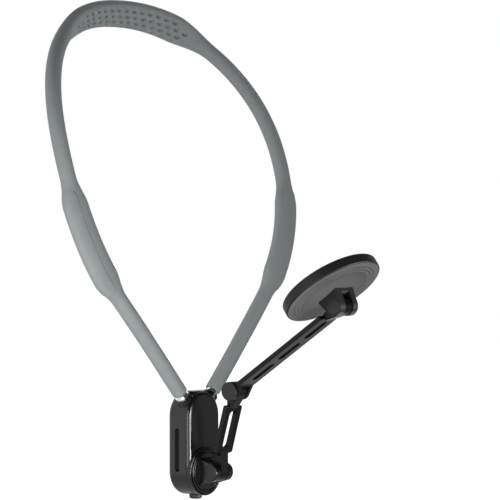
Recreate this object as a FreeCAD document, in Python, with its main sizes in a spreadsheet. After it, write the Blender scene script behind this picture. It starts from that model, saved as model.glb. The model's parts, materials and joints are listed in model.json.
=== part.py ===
import FreeCAD, Part

import math
import os
from types import SimpleNamespace

import Sketcher
from FreeCAD import Placement, Rotation, Vector

# Neck phone holder: a bendable neckband, a housing on the chest and a folding arm with a magnetic disc.
# Millimetres. The origin is where the nape pad rests on the neck, +Z up, -Y ahead of the wearer.

# Driving dimensions
SIZES = {
    # neckband, measured from the swivel axis of the housing
    "band_half_width": 95.0,
    "band_top": 265.5,
    "band_leg_angle": 42.4,
    "band_leg_root": 29.8,
    "band_bend_radius": 114.0,
    "band_crown_power": 2.2,
    "band_lean": 59.0,
    "band_lean_power": 2.73,
    "tube_diameter": 9.1,
    "nape_tilt": 37.0,
    "nape_pad_length": 82.0,
    "nape_pad_taper": 32.0,
    "nape_pad_width": 17.0,
    "nape_pad_thickness": 8.2,
    "collar_pad_start": 73.5,
    "collar_pad_length": 77.0,
    "collar_pad_taper": 17.0,
    "collar_pad_width": 16.6,
    "collar_pad_thickness": 8.8,
    # bendable strip inside the neckband
    "core_width": 3.6,
    "core_thickness": 1.6,
    "core_clearance": 0.2,
    # ferrules and the sockets that they stand in
    "socket_setback": 7.6,
    "socket_diameter": 9.4,
    "socket_mouth": 18.2,
    "socket_floor": 8.6,
    "spigot_diameter": 6.2,
    "spigot_clearance": 0.05,
    "flange_diameter": 8.4,
    "flange_thickness": 0.9,
    "ferrule_neck_diameter": 6.6,
    "ferrule_neck_length": 2.4,
    "barb_diameter": 6.0,
    "barb_length": 8.0,
    # housing
    "housing_width": 28.0,
    "housing_spacing": 31.8,
    "face_setback": 1.5,
    "split_setback": 4.3,
    "back_setback": 18.0,
    "face_edge_radius": 2.4,
    "back_edge_radius": 3.6,
    "side_wall": 3.0,
    "back_wall": 2.6,
    "web_width": 12.8,
    "web_top": 46.2,
    "web_depth": 8.6,
    "grip_slot_width": 3.7,
    "grip_slot_length": 25.0,
    "grip_slot_depth": 1.8,
    "grip_slot_setback": 10.0,
    # screws that close the housing
    "post_diameter": 4.6,
    "post_side": 8.2,
    "post_low": 15.0,
    "post_high": 25.5,
    "screw_head_diameter": 3.8,
    "screw_head_height": 1.1,
    "screw_diameter": 2.0,
    "screw_length": 9.0,
    "screw_clearance": 0.15,
    # plug under the housing
    "plug_diameter": 7.4,
    "plug_setback": 8.2,
    "plug_seat": 13.2,
    "plug_reach": 16.2,
    "plug_stem_diameter": 5.0,
    "plug_stem_length": 2.4,
    "plug_edge_radius": 1.2,
    # swivel
    "bezel_seat": 3.0,
    "bezel_rim": 1.0,
    "bezel_edge_radius": 0.4,
    "turntable_gap": 0.2,
    "turntable_proud": 0.3,
    "turntable_groove": 0.7,
    "turntable_groove_depth": 0.5,
    "swivel_boss_diameter": 21.0,
    "swivel_boss_height": 2.2,
    "hub_diameter": 10.0,
    "hub_clearance": 0.06,
    "swivel_washer_diameter": 17.0,
    "swivel_washer_thickness": 0.8,
    "swivel_bolt_diameter": 4.0,
    "swivel_bolt_head_diameter": 12.0,
    "swivel_bolt_head_height": 2.2,
    "swivel_bolt_length": 6.0,
    # hinges
    "tongue_width": 6.0,
    "tongue_radius": 5.0,
    "tongue_overlap": 1.2,
    "hinge_washer_thickness": 0.5,
    "hinge_washer_diameter": 9.0,
    "face_clearance": 0.05,
    "swing_clearance": 0.6,
    "pin_diameter": 4.0,
    "pin_clearance": 0.05,
    "pin_head_diameter": 8.8,
    "pin_head_sunk": 1.1,
    "pin_edge_radius": 0.2,
    "cap_dome": 0.4,
    "ear_edge_radius": 0.5,
    # fork on the swivel
    "fork_width": 15.0,
    "fork_root": 16.0,
    "fork_ear_radius": 5.2,
    "fork_reach": 8.8,
    # lower arm
    "lower_length": 49.2,
    "lower_lean": 16.0,
    "lower_bar_start": 12.0,
    "lower_tip_length": 8.8,
    "lower_slot_width": 6.0,
    "lower_slot_margin": 2.7,
    "bar_width": 14.0,
    "bar_thickness": 2.8,
    "bar_corner": 1.0,
    "bar_edge_radius": 0.4,
    "neck_length": 3.0,
    "neck_fillet": 2.2,
    # upper arm
    "upper_length": 90.6,
    "upper_rise": 33.5,
    "elbow_width": 11.4,
    "elbow_radius": 5.4,
    "elbow_head_height": 1.2,
    "upper_bar_start": 7.6,
    "upper_tip_length": 11.6,
    "upper_slot_lead": 6.6,
    "upper_slot_tail": 2.4,
    "upper_slot_bridge": 4.8,
    "upper_slot_width": 4.2,
    "upper_slot_count": 3,
    # head
    "head_width": 16.0,
    "head_radius": 5.5,
    "head_root": 16.0,
    "head_root_fillet": 2.0,
    "head_tilt": 36.0,
    # magnetic disc
    "disc_diameter": 58.0,
    "disc_back": 9.4,
    "disc_thickness": 6.2,
    "disc_edge_radius": 1.0,
    "disc_lip_radius": 1.2,
    "disc_floor": 1.8,
    "disc_wall": 1.8,
    "disc_inset": 0.5,
    "disc_groove_radius": 22.0,
    "disc_groove": 0.7,
    "disc_groove_pitch": 1.8,
    "disc_fit": 0.2,
    "plate_thickness": 1.2,
    "magnet_width": 4.3,
    "magnet_thickness": 2.0,
    "magnet_gap_angle": 3.0,
    "magnet_count": 16,
    "carrier_bore": 16.0,
    "face_pad_thickness": 1.5,
    "face_pad_edge_radius": 0.5,
    "disc_screw_count": 3,
    "disc_screw_circle": 10.0,
    "disc_screw_head_diameter": 3.8,
    "disc_screw_head_height": 1.0,
    "disc_screw_diameter": 2.0,
    "disc_screw_length": 3.6,
}

# How finely the band's surface is laid out
STATION_SPACING = 11.0
TAPER_STEPS = 4
OUTLINE_POINTS = 20
CENTRE_LINE_STEPS = 600

# Lengths closer than this are the same
NEAR = 1e-4
X_AXIS = Vector(1, 0, 0)
Y_AXIS = Vector(0, 1, 0)
Z_AXIS = Vector(0, 0, 1)

doc = FreeCAD.newDocument("NeckPhoneHolder")
sheet = doc.addObject("Spreadsheet::Sheet", "Sizes")
for row, (alias, value) in enumerate(SIZES.items(), start=1):
    sheet.set(f"A{row}", alias.replace("_", " "))
    sheet.set(f"B{row}", str(value))
    sheet.setAlias(f"B{row}", alias)
doc.recompute()


# Sizes with their sheet expressions
class Size:
    """A number that keeps the sheet expression it is worked out from."""

    def __init__(self, value, text):
        self.value = value
        self.text = text

    def join(self, other, sign, value):
        return Size(value, f"({self.text} {sign} {other.text})")

    def __add__(self, other):
        other = size_of(other)
        return self.join(other, "+", self.value + other.value)

    def __radd__(self, other):
        return size_of(other) + self

    def __sub__(self, other):
        other = size_of(other)
        return self.join(other, "-", self.value - other.value)

    def __rsub__(self, other):
        return size_of(other) - self

    def __mul__(self, other):
        other = size_of(other)
        return self.join(other, "*", self.value * other.value)

    def __truediv__(self, other):
        other = size_of(other)
        return self.join(other, "/", self.value / other.value)

    def __neg__(self):
        return Size(-self.value, f"(-1 * {self.text})")


def size_of(number):
    if isinstance(number, Size):
        return number
    return Size(float(number), str(float(number)))


cells = SimpleNamespace(**{name: Size(float(sheet.get(name)), f"Sizes.{name}") for name in SIZES})
ZERO = size_of(0)


def bind(thing, name, size):
    """Sets a property of a document object and ties it to the sheet."""
    size = size_of(size)
    setattr(thing, name, size.value)
    thing.setExpression(name, size.text)


# Sketches
def new_body(label, placement):
    body = doc.addObject("PartDesign::Body", label)
    body.Label = label
    body.AllowCompound = True
    body.Placement = placement
    return body


def new_sketch(body, plane, offset=ZERO):
    """A sketch on one of the body's own origin planes, moved along the plane's normal."""
    sketch = body.newObject("Sketcher::SketchObject", "Sketch")
    base = next(part for part in body.Origin.OriginFeatures if part.Role == plane)
    sketch.AttachmentSupport = [(base, "")]
    sketch.MapMode = "FlatFace"
    sketch.AttachmentOffset = Placement(Vector(0, 0, offset.value), Rotation())
    sketch.setExpression("AttachmentOffset.Base.z", offset.text)
    return sketch


def dimension(sketch, kind, places, size):
    index = sketch.addConstraint(Sketcher.Constraint(kind, *places, size.value))
    sketch.setExpression(f"Constraints[{index}]", size.text)


def fix_point(sketch, shape, point, x, y):
    """Ties one point of a shape to its distances from the sketch's origin."""
    for size, kind, axis in ((size_of(x), "DistanceX", -2), (size_of(y), "DistanceY", -1)):
        if size.value == 0:
            sketch.addConstraint(Sketcher.Constraint("PointOnObject", shape, point, axis))
        else:
            dimension(sketch, kind, (-1, 1, shape, point), size)


def draw_circle(sketch, x, y, radius):
    x, y, radius = size_of(x), size_of(y), size_of(radius)
    centre = Vector(x.value, y.value, 0)
    shape = sketch.addGeometry(Part.Circle(centre, Z_AXIS, radius.value))
    fix_point(sketch, shape, 3, x, y)
    dimension(sketch, "Radius", (shape,), radius)


def draw_polygon(sketch, points):
    corners = [(size_of(x), size_of(y)) for x, y in points]
    places = [Vector(x.value, y.value, 0) for x, y in corners]
    first = sketch.GeometryCount
    for start, end in zip(places, places[1:] + places[:1]):
        sketch.addGeometry(Part.LineSegment(start, end))
    count = len(corners)
    for index in range(count):
        following = first + (index + 1) % count
        sketch.addConstraint(Sketcher.Constraint("Coincident", first + index, 2, following, 1))
    for index, (x, y) in enumerate(corners):
        fix_point(sketch, first + index, 1, x, y)


def draw_rectangle(sketch, x_low, x_high, y_low, y_high):
    draw_polygon(sketch, [(x_low, y_low), (x_high, y_low), (x_high, y_high), (x_low, y_high)])


def draw_obround(sketch, low, high, radius, upright=True):
    """A slot with round ends; low and high are the centres of the ends, one above or beside the other."""
    low = (size_of(low[0]), size_of(low[1]))
    high = (size_of(high[0]), size_of(high[1]))
    radius = size_of(radius)
    turn = 0 if upright else -math.pi / 2
    near = Vector(low[0].value, low[1].value, 0)
    far = Vector(high[0].value, high[1].value, 0)
    near_circle = Part.Circle(near, Z_AXIS, radius.value)
    far_circle = Part.Circle(far, Z_AXIS, radius.value)
    half_turn = turn + math.pi
    side = Vector(math.cos(turn), math.sin(turn), 0) * radius.value
    first = sketch.GeometryCount
    sketch.addGeometry(Part.ArcOfCircle(far_circle, turn, half_turn))
    sketch.addGeometry(Part.LineSegment(far - side, near - side))
    sketch.addGeometry(Part.ArcOfCircle(near_circle, half_turn, half_turn + math.pi))
    sketch.addGeometry(Part.LineSegment(near + side, far + side))
    for index in range(4):
        following = first + (index + 1) % 4
        sketch.addConstraint(Sketcher.Constraint("Tangent", first + index, 2, following, 1))
    sketch.addConstraint(Sketcher.Constraint("Equal", first, first + 2))
    dimension(sketch, "Radius", (first,), radius)
    fix_point(sketch, first, 3, *high)
    fix_point(sketch, first + 2, 3, *low)


def draw_ear(sketch, root, root_half, tip, radius, upright=False):
    """A hinge ear seen from its side: a round tip with straight flanks that run to its root."""
    root, root_half, tip, radius = size_of(root), size_of(root_half), size_of(tip), size_of(radius)
    run = tip.value - root.value
    ahead = Y_AXIS if upright else X_AXIS
    outward = ahead * math.copysign(1, run)
    across = Z_AXIS.cross(outward)
    slope = math.pi - math.atan2(root_half.value, abs(run))
    half_arc = slope - math.acos(radius.value / math.hypot(run, root_half.value))
    middle = math.atan2(outward.y, outward.x)
    circle = Part.Circle(ahead * tip.value, Z_AXIS, radius.value)
    arc = Part.ArcOfCircle(circle, middle - half_arc, middle + half_arc)
    left = ahead * root.value + across * root_half.value
    right = ahead * root.value - across * root_half.value
    first = sketch.GeometryCount
    sketch.addGeometry(arc)
    sketch.addGeometry(Part.LineSegment(arc.EndPoint, left))
    sketch.addGeometry(Part.LineSegment(left, right))
    sketch.addGeometry(Part.LineSegment(right, arc.StartPoint))
    sketch.addConstraint(Sketcher.Constraint("Tangent", first, 2, first + 1, 1))
    sketch.addConstraint(Sketcher.Constraint("Coincident", first + 1, 2, first + 2, 1))
    sketch.addConstraint(Sketcher.Constraint("Coincident", first + 2, 2, first + 3, 1))
    sketch.addConstraint(Sketcher.Constraint("Tangent", first + 3, 2, first, 1))
    dimension(sketch, "Radius", (first,), radius)
    sign = 1 if across.x + across.y > 0 else -1
    for shape, size in ((first + 1, root_half * sign), (first + 2, root_half * -sign)):
        if upright:
            fix_point(sketch, shape, 2, size, root)
        else:
            fix_point(sketch, shape, 2, root, size)
    if upright:
        fix_point(sketch, first, 3, ZERO, tip)
    else:
        fix_point(sketch, first, 3, tip, ZERO)


# Solid features
def pad(body, sketch, length, middle=False, back=False):
    feature = body.newObject("PartDesign::Pad", "Pad")
    feature.Profile = sketch
    bind(feature, "Length", length)
    feature.Midplane = middle
    feature.Reversed = back
    doc.recompute()
    return feature


def pocket(body, sketch, length, middle=False, back=False):
    """A cut; it stops the build if it takes nothing away."""
    before = body.Shape.Volume
    feature = body.newObject("PartDesign::Pocket", "Pocket")
    feature.Profile = sketch
    bind(feature, "Length", length)
    feature.Midplane = middle
    feature.Reversed = back
    doc.recompute()
    if body.Shape.Volume >= before:
        raise RuntimeError(f"a cut in {body.Label} takes nothing away")
    return feature


def cylinder(body, kind, radius, length, placement):
    feature = body.newObject(f"PartDesign::{kind}Cylinder", kind)
    bind(feature, "Radius", radius)
    bind(feature, "Height", length)
    feature.Placement = placement
    doc.recompute()
    return feature


def round_edges(body, radius, chosen):
    """Rounds the edges of the body so far that chosen picks."""
    base = body.Tip
    names = [f"Edge{index}" for index, edge in enumerate(base.Shape.Edges, start=1) if chosen(edge)]
    feature = body.newObject("PartDesign::Fillet", "Fillet")
    feature.Base = (base, names)
    bind(feature, "Radius", radius)
    doc.recompute()
    return feature


def repeat(body, kind, features, settings):
    """A pattern or mirror of features, set as the body's tip."""
    pattern = body.newObject(f"PartDesign::{kind}", kind)
    pattern.Originals = features
    for name, value in settings.items():
        setattr(pattern, name, value)
    body.Tip = pattern
    doc.recompute()
    return pattern


def mirror(body, features, plane):
    base = next(part for part in body.Origin.OriginFeatures if part.Role == plane)
    return repeat(body, "Mirrored", features, {"MirrorPlane": (base, [""])})


def ring_of(body, features, count):
    """Copies of features, evenly round the body's Z axis."""
    axis = next(part for part in body.Origin.OriginFeatures if part.Role == "Z_Axis")
    count = size_of(count)
    settings = {"Axis": (axis, [""]), "Angle": 360, "Occurrences": int(count.value)}
    pattern = repeat(body, "PolarPattern", features, settings)
    pattern.setExpression("Occurrences", count.text)
    return pattern


def turned(label, placement, points, angle=size_of(360)):
    """A piece turned about its Z axis; points are radius and height."""
    body = new_body(label, placement)
    sketch = new_sketch(body, "XZ_Plane")
    draw_polygon(sketch, points)
    feature = body.newObject("PartDesign::Revolution", "Revolution")
    feature.Profile = sketch
    feature.ReferenceAxis = (sketch, ["V_Axis"])
    bind(feature, "Angle", angle)
    doc.recompute()
    return body


def flat_at(height, axis="Z"):
    """Picks the edges that lie in the plane at a height along one axis."""

    def chosen(edge):
        box = edge.BoundBox
        low = getattr(box, axis + "Min")
        high = getattr(box, axis + "Max")
        return abs(low - height) < NEAR and abs(high - height) < NEAR

    return chosen


def along(axis, test=lambda box: True):
    """Picks straight edges that run along one axis."""

    def chosen(edge):
        if edge.Curve.TypeId != "Part::GeomLine":
            return False
        run = edge.lastVertex().Point - edge.firstVertex().Point
        return abs(getattr(run, axis)) > run.Length - NEAR and test(edge.BoundBox)

    return chosen


# Frames that the pieces are placed in
nape_angle = math.radians(cells.nape_tilt.value)
nape_half = cells.nape_pad_thickness.value / 2
neck_reach = cells.socket_setback.value + cells.band_lean.value - nape_half * math.cos(nape_angle)
neck_drop = cells.band_top.value - nape_half * math.sin(nape_angle)

SWIVEL = Placement(Vector(0, -neck_reach, -neck_drop), Rotation())
# x to the side, y up, z ahead of the wearer
FRONT = SWIVEL * Placement(Vector(), Rotation(X_AXIS, 90))
# arms lie along their y axis, from hinge to hinge
LOWER = FRONT * Placement(
    Vector(0, 0, cells.fork_reach.value),
    Rotation(X_AXIS, cells.lower_lean.value),
)
ELBOW = LOWER * Placement(
    Vector(0, cells.lower_length.value, 0),
    Rotation(X_AXIS, 90 - cells.upper_rise.value - cells.lower_lean.value),
)
HEAD = Placement(
    (ELBOW * Placement(Vector(0, cells.upper_length.value, 0), Rotation())).Base,
    Rotation(X_AXIS, -cells.head_tilt.value),
)
# turns a piece's z axis into the hinge axis
ALONG_HINGE = Placement(Vector(), Rotation(Y_AXIS, 90))

hinge_gap = cells.hinge_washer_thickness + cells.face_clearance * 2
fork_slot = cells.tongue_width + hinge_gap * 2
pin_hole = cells.pin_diameter / 2 + cells.pin_clearance
housing_radius = cells.housing_width / 2


# Neckband
def band_plan():
    """Sizes of the centre line seen from the front: a straight leg, a round bend and half a crown."""
    angle = math.radians(cells.band_leg_angle.value)
    bend = cells.band_bend_radius.value
    width = cells.band_half_width.value
    leg = (width - bend * (1 - math.cos(angle))) / math.sin(angle)
    foot = cells.band_leg_root.value + leg * math.cos(angle) + bend * math.sin(angle)
    rise = cells.band_top.value - foot
    # a quarter of an ellipse, near enough to space the sections
    crown = math.pi / 4 * (3 * (width + rise) - math.sqrt((3 * width + rise) * (width + 3 * rise)))
    return SimpleNamespace(
        angle=angle,
        bend=bend,
        width=width,
        foot=foot,
        rise=rise,
        leg_end=leg,
        bend_end=leg + bend * angle,
        crown=crown,
    )


def band_centre(plan, run):
    """A point of the band's centre line, run millimetres up the band from where its legs would meet."""
    if run <= plan.leg_end:
        x = run * math.sin(plan.angle)
        z = cells.band_leg_root.value + run * math.cos(plan.angle)
    elif run <= plan.bend_end:
        left = (plan.bend_end - run) / plan.bend
        x = plan.width - plan.bend * (1 - math.cos(left))
        z = plan.foot - plan.bend * math.sin(left)
    else:
        turn = min((run - plan.bend_end) / plan.crown, 1) * math.pi / 2
        power = 2 / cells.band_crown_power.value
        x = plan.width * max(math.cos(turn), 0) ** power
        z = plan.foot + plan.rise * math.sin(turn) ** power
    return Vector(x, band_setback(z), z)


def band_setback(height):
    """How far the centre line stands behind the swivel plane: it leans back towards the nape."""
    low = sleeve_end_height()
    share = max(height - low, 0) / (cells.band_top.value - low)
    return cells.socket_setback.value + cells.band_lean.value * share ** cells.band_lean_power.value


def sleeve_start():
    """Where the sleeve begins, measured along the leg."""
    return cells.socket_mouth.value + cells.flange_thickness.value + cells.ferrule_neck_length.value


def sleeve_end_height():
    angle = math.radians(cells.band_leg_angle.value)
    return cells.band_leg_root.value + sleeve_start() * math.cos(angle)


def ease(share):
    share = min(max(share, 0), 1)
    return share * share * (3 - 2 * share)


def pad_share(place, start, end, taper):
    """1 on a pad, 0 off it, easing over the taper at its ends."""
    return ease((place - start) / taper) * ease((end - place) / taper)


def half_stations():
    """Points from the sleeve's end to the nape with their length along the band."""
    plan = band_plan()
    first = sleeve_start()
    step = (plan.bend_end + plan.crown - first) / CENTRE_LINE_STEPS
    points = [band_centre(plan, first + step * index) for index in range(CENTRE_LINE_STEPS + 1)]
    lengths = [0.0]
    for before, after in zip(points, points[1:]):
        lengths.append(lengths[-1] + (after - before).Length)
    return points, lengths


def point_at(points, lengths, place):
    index = max(i for i, length in enumerate(lengths) if length <= place + NEAR)
    if index == len(points) - 1:
        return points[-1]
    share = (place - lengths[index]) / (lengths[index + 1] - lengths[index])
    return points[index] + (points[index + 1] - points[index]) * share


def pad_ends(total):
    """Where the collar pad begins and ends and where the nape pad begins, along half the band."""
    collar_start = cells.collar_pad_start.value
    collar_end = collar_start + cells.collar_pad_length.value
    nape_start = total - cells.nape_pad_length.value / 2 - cells.nape_pad_taper.value
    return collar_start, collar_end, nape_start


def station_places(total):
    """Lengths along half the band where sections stand, closer together where a pad begins or ends."""
    collar = cells.collar_pad_taper.value
    nape = cells.nape_pad_taper.value
    collar_start, collar_end, nape_start = pad_ends(total)
    breaks = [
        (0, collar_start, STATION_SPACING),
        (collar_start, collar_start + collar, collar / TAPER_STEPS),
        (collar_start + collar, collar_end - collar, STATION_SPACING),
        (collar_end - collar, collar_end, collar / TAPER_STEPS),
        (collar_end, nape_start, STATION_SPACING),
        (nape_start, nape_start + nape, nape / TAPER_STEPS),
        (nape_start + nape, total, STATION_SPACING),
    ]
    places = []
    for start, end, step in breaks:
        count = max(round((end - start) / step), 1)
        places += [start + (end - start) * index / count for index in range(count)]
    return places + [total]


def band_frames():
    """Centre, direction, facing and pad shares of every section, from one end to the other."""
    tilt_power = 3
    reach = 1.0
    points, lengths = half_stations()
    total = lengths[-1]
    collar_start, collar_end, nape_start = pad_ends(total)
    low = sleeve_end_height()
    half = []
    for place in station_places(total):
        centre = point_at(points, lengths, place)
        before = point_at(points, lengths, max(place - reach, 0))
        after = point_at(points, lengths, min(place + reach, total))
        ahead = after - before
        if place == total:
            ahead = -X_AXIS
        ahead.normalize()
        share = max(centre.z - low, 0) / (cells.band_top.value - low)
        tilt = nape_angle * share ** tilt_power
        facing = Vector(0, math.cos(tilt), math.sin(tilt))
        facing = facing - ahead * facing.dot(ahead)
        facing.normalize()
        collar = pad_share(place, collar_start, collar_end, cells.collar_pad_taper.value)
        nape = ease((place - nape_start) / cells.nape_pad_taper.value)
        half.append((centre, ahead, facing, collar, nape))
    whole = list(half)
    for centre, ahead, facing, collar, nape in reversed(half[:-1]):
        whole.append((
            Vector(-centre.x, centre.y, centre.z),
            Vector(ahead.x, -ahead.y, -ahead.z),
            Vector(-facing.x, facing.y, facing.z),
            collar,
            nape,
        ))
    return whole


def sleeve_section(centre, ahead, facing, collar, nape):
    """Control points of one outline of the sleeve: round on the tube, a flattened oval on the pads."""
    round_power = 2.0
    collar_power = 2.4
    nape_power = 3.0
    # a smooth closed curve runs inside its control points by this share
    swell = 3 / (2 + math.cos(2 * math.pi / OUTLINE_POINTS))
    tube = cells.tube_diameter.value
    width = (
        tube
        + collar * (cells.collar_pad_width.value - tube)
        + nape * (cells.nape_pad_width.value - tube)
    )
    thickness = (
        tube
        + collar * (cells.collar_pad_thickness.value - tube)
        + nape * (cells.nape_pad_thickness.value - tube)
    )
    power = 2 / (round_power + collar * (collar_power - round_power) + nape * (nape_power - round_power))
    across = ahead.cross(facing)
    outline = []
    for index in range(OUTLINE_POINTS):
        turn = 2 * math.pi * index / OUTLINE_POINTS
        side = math.copysign(abs(math.cos(turn)) ** power, math.cos(turn)) * width / 2
        out = math.copysign(abs(math.sin(turn)) ** power, math.sin(turn)) * thickness / 2
        outline.append(centre + (across * side + facing * out) * swell)
    return outline


def strip_section(centre, ahead, facing, spare):
    """Corners of the bendable strip, larger all round by the spare."""
    across = ahead.cross(facing) * (cells.core_width.value / 2 + spare)
    out = facing * (cells.core_thickness.value / 2 + spare)
    return [centre + across + out, centre - across + out, centre - across - out, centre + across - out]


def skin(rows, closed):
    """A smooth surface over rows of control points, from the first row to the last."""
    degree = 3
    along_mults = [degree + 1] + [1] * (len(rows) - degree - 1) + [degree + 1]
    if closed:
        round_mults = [1] * (len(rows[0]) + 1)
        round_degree = degree
    else:
        round_mults = [2, 2]
        round_degree = 1
    surface = Part.BSplineSurface()
    surface.buildFromPolesMultsKnots(
        rows,
        along_mults,
        round_mults,
        list(range(len(along_mults))),
        list(range(len(round_mults))),
        False,
        closed,
        degree,
        round_degree,
    )
    return surface.toShape()


def closed_solid(faces):
    shell = Part.Shell(faces)
    shell.sewShape()
    solid = Part.Solid(shell)
    if solid.Volume < 0:
        solid.reverse()
    return solid


def sleeve_solid(frames):
    side = skin([sleeve_section(*frame) for frame in frames], True)
    ends = [edge for edge in side.Edges if edge.isClosed() and not edge.isSeam(side)]
    return closed_solid([side] + [Part.Face(Part.Wire([edge])) for edge in ends])


def strip_solid(frames, spare, overrun):
    """The strip from end to end, run on straight past both ends of the sleeve."""
    rows = [strip_section(*frame[:3], spare) for frame in frames]
    first = [corner - frames[0][1] * overrun for corner in rows[0]]
    last = [corner + frames[-1][1] * overrun for corner in rows[-1]]
    rows = [first] + rows + [last]
    faces = [Part.Face(Part.makePolygon(row + row[:1])) for row in (first, last)]
    corners = len(first)
    for index in range(corners):
        following = (index + 1) % corners
        faces.append(skin([[row[index], row[following]] for row in rows], False))
    return closed_solid(faces)


def make_neckband():
    frames = band_frames()
    sleeve = sleeve_solid(frames)
    barb = cells.barb_diameter.value / 2 + cells.spigot_clearance.value
    depth = cells.barb_length.value + cells.swing_clearance.value
    sleeve = sleeve.cut(strip_solid(frames, cells.core_clearance.value, cells.ferrule_neck_length.value))
    for frame, sign in ((frames[0], 1), (frames[-1], -1)):
        centre, ahead = frame[:2]
        sleeve = sleeve.cut(Part.makeCylinder(barb, depth, centre, ahead * sign))
    make_feature("neckband_sleeve", sleeve)
    make_feature("neckband_core", strip_solid(frames, 0, core_overrun()))


def core_overrun():
    """How far the strip runs out of the sleeve, into the ferrule."""
    return cells.ferrule_neck_length.value + cells.flange_thickness.value


def make_feature(label, shape):
    feature = doc.addObject("Part::Feature", label)
    feature.Label = label
    feature.Shape = shape
    feature.Placement = SWIVEL


# Ferrules
def socket_axis(side):
    """A frame whose z axis runs up one leg of the band, from where the legs would meet."""
    angle = -side * cells.band_leg_angle.value
    base = Vector(0, cells.band_leg_root.value, -cells.socket_setback.value)
    return Placement(base, Rotation(Z_AXIS, angle)) * Placement(Vector(), Rotation(X_AXIS, -90))


def make_ferrule(label, side):
    spigot = cells.spigot_diameter / 2
    flange = cells.flange_diameter / 2
    neck = cells.ferrule_neck_diameter / 2
    barb = cells.barb_diameter / 2
    strip = Size(
        math.hypot(cells.core_width.value, cells.core_thickness.value) / 2,
        "sqrt(Sizes.core_width ^ 2 + Sizes.core_thickness ^ 2) / 2",
    )
    bore = strip + cells.core_clearance / 2
    low = cells.socket_floor + cells.spigot_clearance * 2
    flange_top = cells.socket_mouth + cells.flange_thickness
    sleeve = flange_top + cells.ferrule_neck_length
    top = sleeve + cells.barb_length
    bottom = cells.socket_mouth - cells.flange_thickness
    turned(label, FRONT * socket_axis(side), [
        (0, low),
        (spigot, low),
        (spigot, cells.socket_mouth),
        (flange, cells.socket_mouth),
        (flange, flange_top),
        (neck, flange_top),
        (neck, sleeve),
        (barb, sleeve),
        (barb, top),
        (bore, top),
        (bore, bottom),
        (0, bottom),
    ])


# Housing
def draw_housing(sketch, radius):
    draw_obround(sketch, (ZERO, ZERO), (ZERO, cells.housing_spacing), radius)


def post_places():
    return [
        (cells.post_side, cells.post_low),
        (-cells.post_side, cells.post_low),
        (ZERO, cells.post_high),
    ]


def make_rear_shell():
    body = new_body("rear_shell", FRONT)
    outline = new_sketch(body, "XY_Plane", -cells.back_setback)
    draw_housing(outline, housing_radius)
    pad(body, outline, cells.back_setback - cells.split_setback)
    round_edges(body, cells.back_edge_radius, flat_at(-cells.back_setback.value))
    # the web between the sockets, behind the cover
    web_back = cells.socket_setback + cells.web_depth / 2
    web = new_sketch(body, "XY_Plane", -web_back)
    draw_rectangle(web, -cells.web_width / 2, cells.web_width / 2, cells.housing_spacing, cells.web_top)
    pad(body, web, web_back - cells.split_setback)
    for side in (-1, 1):
        place = socket_axis(side) * Placement(Vector(0, 0, cells.socket_floor.value), Rotation())
        length = cells.socket_mouth - cells.socket_floor
        cylinder(body, "Additive", cells.socket_diameter / 2, length, place)
    # the hollow stops short of the sockets' own walls
    hollow = new_sketch(body, "XY_Plane", -cells.back_setback + cells.back_wall)
    inside = housing_radius - cells.side_wall
    draw_obround(hollow, (ZERO, ZERO), (ZERO, cells.post_high), inside)
    pocket(body, hollow, cells.back_setback - cells.back_wall - cells.split_setback, back=True)
    for side in (-1, 1):
        place = socket_axis(side) * Placement(Vector(0, 0, cells.socket_floor.value), Rotation())
        bore = cells.spigot_diameter / 2 + cells.spigot_clearance
        cylinder(body, "Subtractive", bore, cells.socket_mouth, place)
    # grip slots in both sides
    slot = new_sketch(body, "YZ_Plane", housing_radius - cells.grip_slot_depth)
    radius = cells.grip_slot_width / 2
    draw_obround(
        slot,
        (radius, -cells.grip_slot_setback),
        (cells.grip_slot_length - radius, -cells.grip_slot_setback),
        radius,
        upright=False,
    )
    cut = pocket(body, slot, cells.grip_slot_depth * 2, back=True)
    mirror(body, [cut], "YZ_Plane")
    # screw holes in the back, each with a seat for the head
    depth = cells.screw_head_height + cells.screw_clearance
    for x, y in post_places():
        hole = new_sketch(body, "XY_Plane", -cells.back_setback)
        draw_circle(hole, x, y, cells.screw_diameter / 2 + cells.screw_clearance)
        pocket(body, hole, cells.back_wall * 2, back=True)
        seat = new_sketch(body, "XY_Plane", -cells.back_setback)
        draw_circle(seat, x, y, cells.screw_head_diameter / 2 + cells.screw_clearance)
        pocket(body, seat, depth, back=True)
    # seat and stem hole of the plug
    upward = Rotation(X_AXIS, -90)
    low = Vector(0, -housing_radius.value * 2, -cells.plug_setback.value)
    reach = housing_radius * 2
    cylinder(
        body,
        "Subtractive",
        cells.plug_diameter / 2 + cells.screw_clearance,
        reach - cells.plug_seat,
        Placement(low, upward),
    )
    cylinder(
        body,
        "Subtractive",
        cells.plug_stem_diameter / 2 + cells.spigot_clearance,
        reach - housing_radius + cells.side_wall + cells.plug_stem_length,
        Placement(low, upward),
    )


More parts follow.
